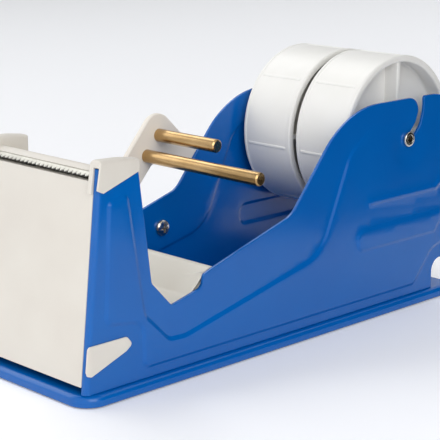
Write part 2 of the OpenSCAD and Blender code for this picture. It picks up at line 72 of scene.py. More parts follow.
# head: inner face and top of the caps; front plate's wall, lower and upper edge
CAP_IN, CAP_Z, PLATE_T, PLATE_Z0, PLATE_Z1 = 31.7, 95.9, 2.5, 8.0, 87.5
ARM_T = 2.8

low, high = (np.array(c) * 1000.0 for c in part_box("base_pan"))
SHIFT = np.array([(low[0] + high[0]) / 2, low[1] + BASE_LEAD, low[2] - FOOT_RISE])
BASE_L = high[1] - low[1]


def to_row(points):
    """The maker's millimetres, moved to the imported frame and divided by 1000."""
    return (np.asarray(points, float) + SHIFT) / 1000.0


# ------------------------------------------------------------------ outlines

def arc(centre, r, start, sweep, step=5.0):
    """Points on a circle: centre + r (cos a, sin a), with a from start over sweep degrees."""
    n = max(2, int(math.ceil(abs(sweep) / step)))
    a = np.radians(start + sweep * np.arange(n + 1) / n)
    return np.array(centre) + r * np.stack([np.cos(a), np.sin(a)], 1)


def unit(v):
    """The same direction with length 1."""
    return v / np.linalg.norm(v)


def rounded(corners, closed=True, step=5.0):
    """Outline through corners (u, v, r): each is an arc of radius r that touches both sides."""
    out, n = [], len(corners)
    for i, (u, v, r) in enumerate(corners):
        p = np.array([u, v], float)
        if r == 0 or (not closed and i in (0, n - 1)):
            out.append(p[None])
            continue
        a = unit(np.array(corners[i - 1][:2], float) - p)
        b = unit(np.array(corners[(i + 1) % n][:2], float) - p)
        half = math.acos(np.clip(a @ b, -1, 1)) / 2
        m = p + unit(a + b) * r / math.sin(half)
        s, e = p + a * r / math.tan(half) - m, p + b * r / math.tan(half) - m
        a0, a1 = (math.degrees(math.atan2(q[1], q[0])) for q in (s, e))
        out.append(arc(m, r, a0, (a1 - a0 + 180) % 360 - 180, step))
    return tidy_loop(np.vstack(out), closed)


def tidy_loop(loop, closed=True):
    """The same outline without points that repeat the one before them."""
    keep = np.ones(len(loop), bool)
    gap = np.linalg.norm(np.diff(loop, axis=0), axis=1)
    keep[1:] = gap > 1e-4
    if closed and np.linalg.norm(loop[0] - loop[-1]) < 1e-4:
        keep[-1] = False
    return loop[keep]


def resample(loop, longest, closed=True):
    """The same outline with no side longer than longest."""
    nxt = np.roll(loop, -1, 0) if closed else loop[1:]
    here = loop if closed else loop[:-1]
    out = []
    for p, q in zip(here, nxt):
        n = max(1, int(math.ceil(np.linalg.norm(q - p) / longest)))
        out.append(p + (q - p) * (np.arange(n) / n)[:, None])
    if not closed:
        out.append(loop[-1:])
    return np.vstack(out)


def inset(loop, d):
    """A closed outline moved to its left by d, along the mitre of the two sides at each point."""
    e = np.roll(loop, -1, 0) - loop
    e /= np.linalg.norm(e, axis=1)[:, None]
    left = np.stack([-e[:, 1], e[:, 0]], 1)
    before = np.roll(left, 1, 0)
    m = (left + before) / (1.0 + (left * before).sum(1))[:, None]
    return loop + m * d


def area(loop):
    """Half the sum of the cross products of neighbours: positive if anticlockwise."""
    q = np.roll(loop, -1, 0)
    return 0.5 * (loop[:, 0] * q[:, 1] - q[:, 0] * loop[:, 1]).sum()


def turned(loop, anticlockwise=True):
    """The same outline, running the way asked for."""
    return loop if (area(loop) > 0) == anticlockwise else loop[::-1]


def inside(points, loops):
    """Even-odd test: inside, if a ray along +u crosses the outlines an odd number of times."""
    hit = np.zeros(len(points), int)
    for loop in loops:
        q = np.roll(loop, -1, 0)
        for (u0, v0), (u1, v1) in zip(loop, q):
            if v0 == v1:
                continue
            cross = (v0 > points[:, 1]) != (v1 > points[:, 1])
            u = u0 + (points[:, 1] - v0) * (u1 - u0) / (v1 - v0)
            hit += cross & (points[:, 0] < u)
    return hit % 2 == 1


def depth_inside(points, loop):
    """Distance from the outline, positive inside it and negative outside."""
    best = np.full(len(points), 1e9)
    q = np.roll(loop, -1, 0)
    for a, b in zip(loop, q):
        ab = b - a
        t = np.clip(((points - a) @ ab) / (ab @ ab), 0, 1)
        best = np.minimum(best, np.linalg.norm(points - a - t[:, None] * ab, axis=1))
    return np.where(inside(points, [loop]), best, -best)


def smooth(t):
    """S-curve: 3 t^2 - 2 t^3, held between 0 and 1."""
    t = np.clip(t, 0, 1)
    return t * t * (3 - 2 * t)


def ramp(t):
    """Straight rise from 0 to 1 with softened ends: the mean of five rises, a little apart."""
    return np.mean([np.clip(t + o, 0, 1) for o in (-0.08, -0.04, 0.0, 0.04, 0.08)], axis=0)


def wall(path, t):
    """A strip of thickness t on the left of an open path of corners (u, v, r), as one outline."""
    line = rounded(path, closed=False)
    e = np.diff(line, axis=0)
    e /= np.linalg.norm(e, axis=1)[:, None]
    left = np.stack([-e[:, 1], e[:, 0]], 1)
    n0, n1 = np.vstack([left[:1], left]), np.vstack([left, left[-1:]])
    m = (n0 + n1) / (1.0 + (n0 * n1).sum(1))[:, None]
    return turned(np.vstack([line, (line + m * t)[::-1]]))


# ------------------------------------------------------------------ solids

def fill(loops, extra=None):
    """Triangles that fill the outlines and pass through the extra points (Delaunay)."""
    pts = [p for loop in loops for p in loop]
    if extra is not None and len(extra):
        pts += list(extra)
    edges, at = [], 0
    for loop in loops:
        n = len(loop)
        edges += [(at + i, at + (i + 1) % n) for i in range(n)]
        at += n
    res = delaunay_2d_cdt([Vector(p) for p in pts], edges, [], 1, 1e-6)
    back = np.array([o[0] if o else -1 for o in res[3]])
    tri = back[np.array([f for f in res[2] if len(f) == 3])]
    xy = np.array(pts)
    mid = xy[tri].mean(1)
    tri = tri[inside(mid, loops) & (tri >= 0).all(1)]
    a, b, c = xy[tri[:, 0]], xy[tri[:, 1]], xy[tri[:, 2]]
    flip = (b - a)[:, 0] * (c - a)[:, 1] - (b - a)[:, 1] * (c - a)[:, 0] < 0
    tri[flip] = tri[flip][:, ::-1]
    return tri


def rim(thick, edge, steps=4, flat=0.08):
    """(inset, depth) of a plate's rounded rim: quarter circle, straight wall, quarter circle."""
    a = np.linspace(0, math.pi / 2, steps + 1)
    top = np.stack([edge * (1 - np.sin(a)), edge * (1 - np.cos(a))], 1)
    low_half = top[::-1] * [1, -1] + [0, thick]
    ends = np.array([[edge + flat, 0.0]]), np.array([[edge + flat, thick]])
    return np.vstack([ends[0], top, low_half, ends[1]])


def plate(loops, rings, place, extra=None):
    """Closed plate: its rim is one ring of points per (inset, depth), its two faces are filled.

    place(points, depth) puts 2-D points at a depth below the front face into space.
    The front face's normal is where the first two coordinates turn anticlockwise.
    """
    loops = [turned(l, k == 0) for k, l in enumerate(loops)]
    extra = np.zeros((0, 2)) if extra is None else extra
    flat = [np.vstack([inset(l, r[0]) for l in loops]) for r in rings]
    n, ni, m = len(flat[0]), len(extra), len(rings)
    first = [inset(l, rings[0][0]) for l in loops]
    last = [inset(l, rings[-1][0]) for l in loops]
    tri0 = fill(first, extra)
    tri1 = tri0 if rings[0][0] == rings[-1][0] else fill(last, extra)
    starts = [0] + [n + ni + k * n for k in range(m - 1)]
    verts = [place(np.vstack([flat[0], extra]), rings[0][1])]
    verts += [place(flat[k], rings[k][1]) for k in range(1, m - 1)]
    verts.append(place(np.vstack([flat[-1], extra]), rings[-1][1]))
    faces = [tri0, tri1[:, ::-1] + starts[-1]]
    at = 0
    for l in loops:
        i = np.arange(len(l))
        j = (i + 1) % len(l)
        for k in range(m - 1):
            a, b = starts[k] + at, starts[k + 1] + at
            faces.append(np.stack([b + i, b + j, a + j, a + i], 1))
        at += len(l)
    return np.vstack(verts), faces


def slab(outline, x0, x1, edge=0.4, holes=(), steps=4):
    """Rounded plate between x0 and x1, whose outline is drawn in (Y, Z)."""
    loops = [outline] + list(holes)
    return plate(loops, rim(x1 - x0, edge, steps),
                 lambda p, d: np.column_stack([np.full(len(p), x1 - d), p]))


def revolve(profile, angles, place, closed=True):
    """Profile (u, r) turned round the axis: at angle a the point is (u, r cos a, r sin a)."""
    n, m = len(profile), len(angles)
    u, r, a = profile[:, 0][None], profile[:, 1][None], np.asarray(angles)[:, None]
    verts = place(np.broadcast_to(u, (m, n)), r, a).reshape(-1, 3)
    i, j = np.meshgrid(np.arange(m), np.arange(n if closed else n - 1), indexing="ij")
    i2, j2 = (i + 1) % m, (j + 1) % n
    quads = np.stack([i * n + j, i * n + j2, i2 * n + j2, i2 * n + j], -1).reshape(-1, 4)
    if closed:
        return verts, [quads]
    # poles: every copy of the first and last profile point becomes one point
    index = np.arange(n * m)
    index[0::n], index[n - 1::n] = 0, n - 1
    quads = index[quads]
    return verts, without_poles(quads)


def without_poles(quads):
    """Quads whose side has shrunk to a point become triangles."""
    first, last = quads[:, 0] == quads[:, 3], quads[:, 1] == quads[:, 2]
    return [quads[~first & ~last], quads[first][:, :3], quads[last][:, [0, 1, 3]]]


def turn_about(y, z, x0=0.0, sense=1.0):
    """Place function for revolve(): the axis runs along X through (y, z)."""
    def place(u, r, a):
        return stacked(x0 + sense * u, y + r * np.cos(a), z + r * np.sin(a))
    return place


def turn_upright(x, y, z0):
    """Place function for revolve(): the axis stands along Z through (x, y), from z0 upwards."""
    def place(u, r, a):
        return stacked(x + r * np.cos(a), y + r * np.sin(a), z0 + u)
    return place


def stacked(x, y, z):
    """Three arrays, spread to one shape, as points."""
    return np.stack(np.broadcast_arrays(x, y, z), -1)


def circle_steps(n):
    """n angles evenly round the circle."""
    return np.arange(n) * 2 * math.pi / n


def mirrored(shell):
    """The same closed shell on the other side of the middle plane."""
    verts, faces = shell
    return verts * [-1, 1, 1], [f[:, ::-1] for f in faces]


def outward(shell):
    """Faces turned over if the shell's signed volume is negative."""
    verts, faces = shell
    volume = 0.0
    for f in faces:
        for k in range(1, f.shape[1] - 1):
            a, b, c = verts[f[:, 0]], verts[f[:, k]], verts[f[:, k + 1]]
            volume += np.einsum("ij,ij->i", a, np.cross(b, c)).sum()
    return (verts, faces) if volume > 0 else (verts, [f[:, ::-1] for f in faces])


def piece(name, shells, material, body, replaces=(), sharp=35.0, materials=None):
    """One object from closed shells: places it, shades it smooth, and tells the frame about it."""
    points, polys, which, at = [], [], [], 0
    for k, shell in enumerate(shells):
        verts, faces = outward(shell)
        points.append(verts)
        for f in faces:
            polys += (f + at).tolist()
            which += [materials[k] if materials else 0] * len(f)
        at += len(verts)
    mesh = bpy.data.meshes.new(name)
    mesh.from_pydata(to_row(np.vstack(points)), [], polys)
    mesh.update()
    mesh.polygons.foreach_set("use_smooth", np.ones(len(polys), bool))
    mesh.set_sharp_from_angle(angle=math.radians(sharp))
    for m in (material if isinstance(material, (list, tuple)) else [material]):
        mesh.materials.append(m)
    mesh.polygons.foreach_set("material_index", np.array(which, np.int32))
    mesh.validate()
    obj = bpy.data.objects.new(name, mesh)
    bpy.context.scene.collection.objects.link(obj)
    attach(obj, body)
    if replaces:
        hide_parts(*replaces)
    return obj


# ------------------------------------------------------------------ materials

def colour(text):
    """sRGB hex value to linear RGBA."""
    c = np.array([int(text[i:i + 2], 16) for i in (1, 3, 5)]) / 255.0
    lin = np.where(c <= 0.04045, c / 12.92, ((c + 0.055) / 1.055) ** 2.4)
    return (*lin.tolist(), 1.0)


def node(tree, kind, inputs=None, **settings):
    """Adds one shader node: settings are its properties, inputs its sockets' values or links."""
    n = tree.nodes.new("ShaderNode" + kind)
    for key, value in settings.items():
        setattr(n, key, value)
    for key, value in (inputs or {}).items():
        if isinstance(value, bpy.types.NodeSocket):
            tree.links.new(value, n.inputs[key])
        else:
            n.inputs[key].default_value = value
    return n


def new_material(name):
    """An empty node material and its tree."""
    m = bpy.data.materials.new(name)
    m.use_nodes = True
    m.node_tree.nodes.clear()
    return m, m.node_tree


def finish(name, tones, tone_noise, gloss, gloss_noise, relief_noise, relief, **sockets):
    """Principled material whose tone, roughness and relief each follow a noise.

    A noise is (blob in mm, detail, roughness, stretch) on Object coordinates, and the same one may
    drive two of them. While it goes from 0.3 to 0.7, the tone goes between its two hex values and
    the roughness between its two numbers. The relief is (height in mm, strength). Without a gloss
    noise the roughness is one number, on the shader's own socket.
    """
    m, tree = new_material(name)
    noise = {}
    for spec in (tone_noise, gloss_noise, relief_noise):
        if spec is None or spec in noise:
            continue
        blob_mm, detail, rough, stretch = spec
        coords = node(tree, "TexCoord").outputs["Object"]
        scale = tuple(1000.0 / blob_mm * k for k in stretch)
        at = node(tree, "Mapping", {"Vector": coords, "Scale": scale}).outputs["Vector"]
        noise[spec] = node(tree, "TexNoise", {"Vector": at, "Scale": 1.0, "Detail": detail,
                                              "Roughness": rough}).outputs["Fac"]
    span = {"From Min": 0.3, "From Max": 0.7}
    share = node(tree, "MapRange", {"Value": noise[tone_noise], **span}).outputs["Result"]
    tone = node(tree, "Mix", {0: share, 6: colour(tones[0]), 7: colour(tones[1])}, data_type="RGBA")
    if gloss_noise is not None:
        gloss = node(tree, "MapRange", {"Value": noise[gloss_noise], **span, "To Min": gloss[0],
                                        "To Max": gloss[1]}).outputs["Result"]
    bumps = node(tree, "Bump", {"Height": noise[relief_noise], "Distance": relief[0] / 1000.0,
                                "Strength": relief[1]})
    shader = node(tree, "BsdfPrincipled", {
        "Base Color": tone.outputs[2], "Roughness": gloss, "Normal": bumps.outputs["Normal"],
        **{key.replace("_", " "): value for key, value in sockets.items()}})
    node(tree, "OutputMaterial", {"Surface": shader.outputs["BSDF"]})
    return m


ROUND = (1, 1, 1)                          # a noise that is not stretched


def enamel_blue():
    """Stoved enamel on pressed steel: sprayed and baked, a smooth glossy blue skin.

    The spray leaves a shallow orange peel about 1.6 mm across, which breaks up the edge of a
    reflection, and the film is a little thinner and darker in patches some 40 mm wide.
    """
    return finish("stoved_blue_enamel", ("#005DAF", "#0061B3"), (40, 2.0, 0.5, ROUND),
                  (0.15, 0.2), (9, 3.0, 0.5, ROUND), (1.6, 1.5, 0.45, ROUND), (0.008, 0.4),
                  IOR=1.5, Specular_IOR_Level=0.42)


def moulded_plastic(name, light, dark, rough_lo, rough_hi):
    """Injection-moulded ABS: satin from a spark-eroded mould, warm white.

    The mould's texture is grains about 0.5 mm across; the tone wanders a little over 25 mm,
    as where the melt front cooled.
    """
    return finish(name, (dark, light), (25, 2.0, 0.5, ROUND), (rough_lo, rough_hi),
                  (6, 2.0, 0.5, ROUND), (0.5, 2.0, 0.5, ROUND), (0.012, 0.35), IOR=1.53)


def turned_metal(name, light, dark, rough_lo, rough_hi, mark_mm, mark_depth, stretch):
    """Drawn or turned metal bar: its polishing marks run round it, mark_mm apart.

    stretch makes the noise narrow along X and long round the bar, so highlights break into
    fine bands across the axis. The marks drive both the roughness and the relief.
    """
    marks = (mark_mm, 3.0, 0.6, stretch)
    return finish(name, (dark, light), (8, 3.0, 0.5, ROUND), (rough_lo, rough_hi), marks, marks,
                  (mark_depth, 0.6), Metallic=1.0)


def rubber_black():
    """Moulded nitrile rubber: dull black with a faint grain half a millimetre across."""
    grain = (0.5, 3.0, 0.5, ROUND)
    return finish("moulded_black_rubber", ("#141414", "#1E1E1F"), grain, 0.75, None, grain,
                  (0.03, 0.5))


ENAMEL = enamel_blue()
# ABS: one warm white for the head, a greyer copy in the trough (painted shade), a cleaner one with
# more gloss on the hubs, a creamier one on the arm, and a grey for the sleeves (painted shade)
HEAD = moulded_plastic("satin_abs_head", "#E3DDD2", "#DED7CC", 0.42, 0.5)
SCOOP_SHADED_WHITE = moulded_plastic("satin_abs_trough_painted_shade", "#DCD8CE", "#D5D0C5", 0.42, 0.5)
HUB = moulded_plastic("satin_abs_hub", "#F3F1EC", "#EEECE6", 0.34, 0.42)
ARM_WHITE = moulded_plastic("satin_abs_arm", "#F0E8DC", "#EBE2D5", 0.42, 0.5)
SPACER_SHADE_GREY = moulded_plastic("satin_abs_spacer_painted_shade", "#9B9A97", "#8F8E8B", 0.4, 0.5)
# drawn brass bar, polished round: a soft long highlight along the rod
BRASS = turned_metal("polished_drawn_brass", "#C0A072", "#B09062", 0.2, 0.28, 0.35, 0.002,
                     (3, 0.4, 0.4))
# bright nickel over turned steel: nearly a mirror, a little yellow
NICKEL = turned_metal("nickel_plated_steel", "#D6D2CA", "#C9C4BA", 0.16, 0.26, 0.4, 0.002,
                      (2, 1, 1))
# zinc plate, dull grey
ZINC = turned_metal("zinc_plated_steel", "#B9B9B6", "#A6A7A6", 0.28, 0.42, 1.2, 0.004, (1, 1, 1))
# hardened strip, ground along its length: fine bands across it
BLADE = turned_metal("ground_blade_steel", "#B4B2AA", "#A3A199", 0.3, 0.4, 0.3, 0.003, (4, 1, 1))
# oiled mill scale, dark and dull
DARK_STEEL = turned_metal("oiled_ballast_steel", "#5B5B5C", "#474748", 0.4, 0.55, 1.5, 0.01,
                          (1, 1, 1))
RUBBER = rubber_black()

# ------------------------------------------------------------------ base

def base_pan():
    """Pressed pan: the rounded rectangle's rings go over the rolled edge and up inside."""
    r, e, t = BASE_CORNER, BASE_EDGE, BASE_T
    y0, y1 = -BASE_LEAD, BASE_L - BASE_LEAD
    w = BASE_W / 2
    loop = rounded([(-w, y0, r), (w, y0, r), (w, y1, r), (-w, y1, r)], step=4)
    a = np.linspace(0, math.pi / 2, 8)
    over = np.stack([e * (1 - np.sin(a)), e * (1 - np.cos(a))], 1)
    height = BASE_H - FOOT_RISE
    inner_e = e - t
    inner = np.stack([t + inner_e * (1 - np.sin(a)), t + inner_e * (1 - np.cos(a))], 1)[::-1]
    hem = np.array([[0, height - 0.3], [0.3, height], [t - 0.3, height], [t, height - 0.3]])
    rings = np.vstack([[[e + 0.2, 0]], over, hem, inner, [[e + 0.2, t]]])
    grid = np.stack(np.meshgrid(np.linspace(-30, 30, 5), np.linspace(y0 + 14, y1 - 14, 14)), -1)
    return plate([loop], rings, lambda p, d: np.column_stack([p, np.full(len(p), BASE_H - d)]),
                 grid.reshape(-1, 2))


piece("base", [base_pan()], ENAMEL, "frame", ["base_pan"])

# ------------------------------------------------------------------ side panels

PANEL_TOP = [(28, TOWER_Z, 1.5), (34.6, 43.4, 3), (45.2, 32.2, 2), (62, 36.3, 2),
             (62.9, 41.4, 1.5), (67.9, 43.2, 3), (115.4, 57.3, 12), (150.4, TOP_Z, 47)]
FIELD = [(12.2, 79.8, 3), (22.8, 82.3, 3), (28.9, 45, 8), (31.2, 31.5, 6), (43.5, 19.4, 5),
         (52, 19, 12), (133.1, 37.1, 20), (151.5, 79.4, 15), (166, 89, 10), (223, 89, 6),
         (223, 27, 3), (213.3, 24, 8), (200.3, 9, 3), (29, 9, 4), (29, 28, 5), (9.6, 31, 4)]
BAR = [(157, 32.3, 5), (157, 43.5, 5), (219, 43.5, 2), (219, 38, 1), (214, 32.3, 2)]
BEAD = [(166.5, 54.9, 0), (213.6, 54.9, 2.5), (219.5, 59.0, 0)]      # its middle line
# how far each form is pressed out, and how wide its slope is
FIELD_DEPTH, FIELD_SLOPE = 0.85, 1.7
BAR_DEPTH, BAR_SLOPE = 0.75, 1.6
BEAD_DEPTH, BEAD_SLOPE, BEAD_HALF = 0.65, 1.5, 2.0
EAR = [(0.6, 13.2, 1), (0, 15, 1), (1, 24.9, 1.5), (20.8, 24.9, 2), (23.6, 21.4, 1.5),
       (20.2, 19, 1.5), (2.6, 12.6, 1)]
EAR_NECK = [(4, 15.2, 1), (4.8, 23.4, 1), (20.2, 23.4, 1.2), (21.8, 21.4, 1), (19.4, 20.2, 1)]
FOLD_OUT = SHEET + 0.4                    # outer radius of the folded front edge
FOLD_MID = FOLD_OUT - SHEET / 2
FOLD_LIP = FLANGE_W - FOLD_OUT            # flat part of the folded strip
COS, SIN = math.cos(LEAN), math.sin(LEAN)


def unlean(p):
    """(Y, Z) to (s, l): distance behind the leaning front edge, and distance along it."""
    y, z = p[:, 0], p[:, 1] - BASE_H
    return np.stack([y * COS - z * SIN, y * SIN + z * COS], 1)


def lean(s, l):
    """The way back from unlean(): (s, l) to Y and Z."""
    return s * COS + l * SIN, BASE_H - s * SIN + l * COS


def panel_loop():
    """The flat sheet's outline before folding: front edge, notch, slot and rear cut-away."""
    front_s = FOLD_OUT - FOLD_MID * math.pi / 2 - FOLD_LIP
    top_l = (TOWER_Z - BASE_H) / COS
    # the slot's two walls meet the top edge in lips of these radii
    lip_front, lip_rear = 6.5, 1.5
    outer, inner = HOOK_R + SLOT_HALF, HOOK_R - SLOT_HALF
    a_front = math.degrees(math.asin((TOP_Z - lip_front - HOOK[1]) / inner))
    a_rear = math.degrees(math.asin((TOP_Z - lip_rear - HOOK[1]) / outer))
    y_front = HOOK[0] + inner * math.cos(math.radians(a_front)) - lip_front
    y_rear = HOOK[0] + outer * math.cos(math.radians(a_rear)) + lip_rear
    seat = math.degrees(SEAT_ANGLE)
    slot = np.vstack([arc((y_front, TOP_Z - lip_front), lip_front, 90, -90),
                      arc(HOOK, inner, a_front, -seat - a_front, 3),
                      arc(SEAT, SLOT_HALF, 180 - seat, 180, 10),
                      arc(HOOK, outer, -seat, seat + a_rear, 3),
                      arc((y_rear, TOP_Z - lip_rear), lip_rear, 180, -90)])
    upper = rounded([(0, TOWER_Z, 0)] + PANEL_TOP + [(REAR_Y, TOP_Z, 20)], False, 3)[1:-1]
    rear = rounded([(160, TOP_Z, 0), (REAR_Y, TOP_Z, 20), (REAR_Y, REAR_CUT_Z, 3),
                    (REAR_CUT_Y, REAR_CUT_Z, 6), (REAR_CUT_Y, BASE_H, 0)], closed=False, step=3)[1:]
    path = np.vstack([upper, slot, rear])
    # back to the front along the foot, then up the folded edge
    yz = np.vstack([path, [[FOLD_OUT + 1.0, BASE_H]]])
    fold = [[FOLD_OUT, FOLD_OUT * SIN / COS], [front_s, 0.0], [front_s, top_l], [FOLD_OUT, top_l]]
    out = np.vstack([unlean(yz), fold])
    return resample(tidy_loop(out), 3.0)


def distance_to(line, p):
    """Distance of the points p from an open line of corners."""
    best = np.full(len(p), 1e9)
    for a, b in zip(line, line[1:]):
        t = np.clip(((p - a) @ (b - a)) / ((b - a) @ (b - a)), 0, 1)
        best = np.minimum(best, np.linalg.norm(p - a - t[:, None] * (b - a), axis=1))
    return best


def press_depth(s, l):
    """How far the sheet is pressed out: eased ramps over the edges of the field, bar and bead.

    The field fades towards the top of the rear half, and stays flat round the axle's seat.
    """
    p = np.stack(lean(s, l), 1)
    fade = 1.0 - smooth((p[:, 1] - 72) / 20.0) * smooth((p[:, 0] - 120) / 20.0)
    seat = smooth((np.linalg.norm(p - SEAT, axis=1) - 7) / 8)
    field = FIELD_DEPTH * ramp(depth_inside(p, FIELD_LOOP) / FIELD_SLOPE) * np.minimum(fade, seat)
    bar = BAR_DEPTH * ramp(depth_inside(p, BAR_LOOP) / BAR_SLOPE)
    line = np.array(BEAD)[:, :2]
    bead = BEAD_DEPTH * ramp((BEAD_HALF - distance_to(line, p)) / BEAD_SLOPE)
    return field + bar + bead


def panel_place(p, d):
    """Folds the flat sheet: past the front edge it turns inwards round a quarter circle."""
    s, l = p[:, 0], p[:, 1]
    h = press_depth(s, l)
    turn = np.clip((FOLD_OUT - s) / FOLD_MID, 0, math.pi / 2)
    past = np.clip(FOLD_OUT - s - FOLD_MID * math.pi / 2, 0, None)
    x = OUT_X - FOLD_OUT + (FOLD_OUT - d) * np.cos(turn) - past
    x = np.where(s >= FOLD_OUT, OUT_X - d, x)
    s2 = np.where(s >= FOLD_OUT, s, FOLD_OUT - (FOLD_OUT - d) * np.sin(turn))
    y, z = lean(s2, l)
    return np.column_stack([x + h, y, z])


def panel_points(loop, hole):
    """Points inside the sheet: an even net, and closer rows along the pressed edges and fold."""
    rows = []
    for outline, offsets, longest in ((FIELD_LOOP, (-0.2, 0.12, 0.4, 0.85, 1.3, 1.6, 1.9), 1.3),
                                      (BAR_LOOP, (-0.2, 0.12, 0.4, 0.8, 1.2, 1.5, 1.8), 1.2)):
        dense = resample(outline, longest)
        rows += [inset(dense, d) for d in offsets]
    strip = resample(rounded(BEAD, closed=False), 1.2, closed=False)
    e = np.gradient(strip, axis=0)
    e /= np.linalg.norm(e, axis=1)[:, None]
    side = np.stack([-e[:, 1], e[:, 0]], 1)
    for d in (0, 0.35, 0.6, 1.1, 1.6, 1.9, 2.2):
        rows += [strip + side * d] + ([strip - side * d] if d else [])
    near = unlean(np.vstack(rows))
    # the net's rows are half a step apart in turn, and keep off the closer rows and the rims
    step, clear_of_rows, clear_of_rim = 3.6, 1.4, 0.75
    u, v = np.meshgrid(np.arange(-2, 236, step), np.arange(-30, 120, step * 0.866))
    u = u + (np.arange(len(v)) % 2)[:, None] * step / 2
    net = np.stack([u.ravel(), v.ravel()], 1)
    fold_end = FOLD_OUT - FOLD_MID * math.pi / 2
    fold = np.stack(np.meshgrid(np.linspace(fold_end, FOLD_OUT + 0.4, 9),
                                np.arange(0, 90, 2.5)), -1).reshape(-1, 2)
    net = net[net[:, 0] > FOLD_OUT + 2.0]
    gap = np.min(np.linalg.norm(net[:, None] - near[None], axis=2), axis=1)
    both = np.vstack([near, net[gap > clear_of_rows], fold])
    return both[(depth_inside(both, loop) > clear_of_rim)
                & (depth_inside(both, hole) < -clear_of_rim)]


FIELD_LOOP, BAR_LOOP = turned(rounded(FIELD)), turned(rounded(BAR))


def side_panel():
    """Pressed sheet: both faces follow the same press depth, and the rim is rounded."""
    loop = turned(panel_loop())
    hole = resample(unlean(inset(turned(rounded(EAR_NECK)), -FIT)), 3.0)
    return plate([loop, hole], rim(SHEET, 0.3, 3), panel_place, panel_points(loop, hole))


def foot_strip():
    """Foot folded inwards onto the base: an L-shaped strip with a rounded inner corner."""
    bend, y0, y1 = 1.5, 26.0, 204.3
    x0, x1 = IN_X - FOOT_FLANGE, IN_X + 0.6              # the foot's end lies in the panel's sheet
    corner = arc((IN_X - bend, BASE_H + SHEET + bend), bend, -90, 90)
    profile = np.vstack([[[x0, BASE_H], [x1, BASE_H], [x1, BASE_H + SHEET + bend]], corner[::-1],
                         [[x0, BASE_H + SHEET]]])
    return plate([tidy_loop(profile)], rim(y1 - y0, 0.25, 3),
                 lambda p, d: np.column_stack([p[:, 0], np.full(len(p), y1 - d), p[:, 1]]))


panel = side_panel()
foot = foot_strip()
piece("panel_near", [panel, foot], ENAMEL, "frame", ["side_panel_right"], 50)
piece("panel_far", [mirrored(panel), mirrored(foot)], ENAMEL, "frame",
      ["side_panel_left"], 50)

# ------------------------------------------------------------------ moulded head

CAP_REAR = 28.4
BLADE_TOP = 90.9
PLATFORM = [(10.35, BLADE_TOP - 0.15, 0), (10.15, BLADE_TOP + 0.3, 0.1), (14, 92.4, 4),
            (27.4, 87.4, 1), (27.4, 86.2, 0), (25.9, 86.2, 0), (25.9, 86.9, 0), (17.2, 90.1, 0.5),
            (16.8, BLADE_TOP, 0)]
PEG_Y, PEG_X = 13.4, (-21.7, 0.0, 21.7)


def front_at(z):
    """Place of the leaning front at a height."""
    return (z - BASE_H) * math.tan(LEAN)


def head_shells():
    """Front plate, platform, ribs and pegs; on each side a cap open below, a web and an ear."""
    front = np.array([[front_at(z) + y, z] for z, y in ((PLATE_Z0, 0.0), (PLATE_Z0, PLATE_T),
                                                        (PLATE_Z1, PLATE_T), (PLATE_Z1, 0.0))])
    web = np.array([[2.8, 12], [10.9, 90], [24.6, 90], [26, 12]])
    web_in = 33.3
    shells = [slab(turned(front), -FLANGE_X + FIT, FLANGE_X - FIT, 0.35)]
    sides = [cap(), slab(turned(web), web_in, IN_X - FIT, 0.3),
             slab(turned(rounded(EAR_NECK)), web_in, SKIN_X - 0.2, 0.3), ear()]
    shells += sides + [mirrored(s) for s in sides]
    shells.append(slab(turned(rounded(PLATFORM)), -CAP_IN - 0.3, CAP_IN + 0.3, 0.1))
    for x in (-CAP_IN / 3, CAP_IN / 3):
        rib = np.array([[front_at(60) + 1, 60], [front_at(86) + 1, 86], [17.2, 86], [17.2, 90.3],
                        [26.2, 87.1], [26.2, 84.9]])
        shells.append(slab(turned(rib), x - 0.8, x + 0.8, 0.2))
    peg = np.array([[0, 0], [0, 1.3], [0.2, 1.5], [3.6, 1.5], [3.6, 0]])
    for x in PEG_X:
        shells.append(revolve(peg, circle_steps(24), turn_upright(x, PEG_Y, BLADE_TOP - 3), False))
    return shells


def cap():
    """Cap over the tower: an upturned U, drawn in (X, Z) and carried from its front to its rear.

    Its front leans with the plate, its top falls gently towards the rear, and the skin's lower
    edge climbs 0.34 mm per mm behind a corner 2.5 mm from the front.
    """
    front_y, front_z = 7.2, 85                # a point of the leaning front
    corner_y, corner_z = 9.9, 83.5            # the corner of the skin's lower edge
    foot, inner_foot, roof = 84, 83, 93.1     # ends of the skin and inner wall, underside of the top
    bend_z = 92                               # the skin below this height follows its lower edge
    loop = rounded([(SKIN_X, foot, 0), (SKIN_X, CAP_Z, 1.7), (CAP_IN, CAP_Z, 1.5),
                    (CAP_IN, inner_foot, 0), (FLANGE_X - FIT, inner_foot, 0),
                    (FLANGE_X - FIT, roof, 0.4), (OUT_X + 0.05, roof, 0.3),
                    (OUT_X + 0.05, foot, 0)], step=10)
    loop = resample(turned(loop), 1.5)
    length = CAP_REAR - front_y
    ends = rim(length, 0.36, 4, 0.02)
    half = len(ends) // 2
    between = np.column_stack([np.zeros(26), np.linspace(0.6, length - 0.6, 26)])

    def place(p, d):
        x, z = p[:, 0], p[:, 1]
        t = d / length
        front = front_y + 0.165 * (z - front_z)
        y = front + t * (CAP_REAR - front)
        low_edge = corner_z + np.maximum(0.339 * (y - corner_y), 0.5 * (corner_y - y))
        skin = (x > OUT_X) & (z < bend_z)
        z = np.where(skin, bend_z - (bend_z - z) * (bend_z - low_edge) / (bend_z - foot), z)
        fall = (0.35 * smooth((y - 9) / 10) + 1.4 * smooth((y - 18) / 14)
                + 0.5 * smooth((10.0 - y) / 1.6))
        z = z - fall * np.clip((z - roof) / (CAP_Z - roof), 0, 1)
        return np.column_stack([x, y, z])
    return plate([loop], np.vstack([ends[:half], between, ends[half:]]), place)


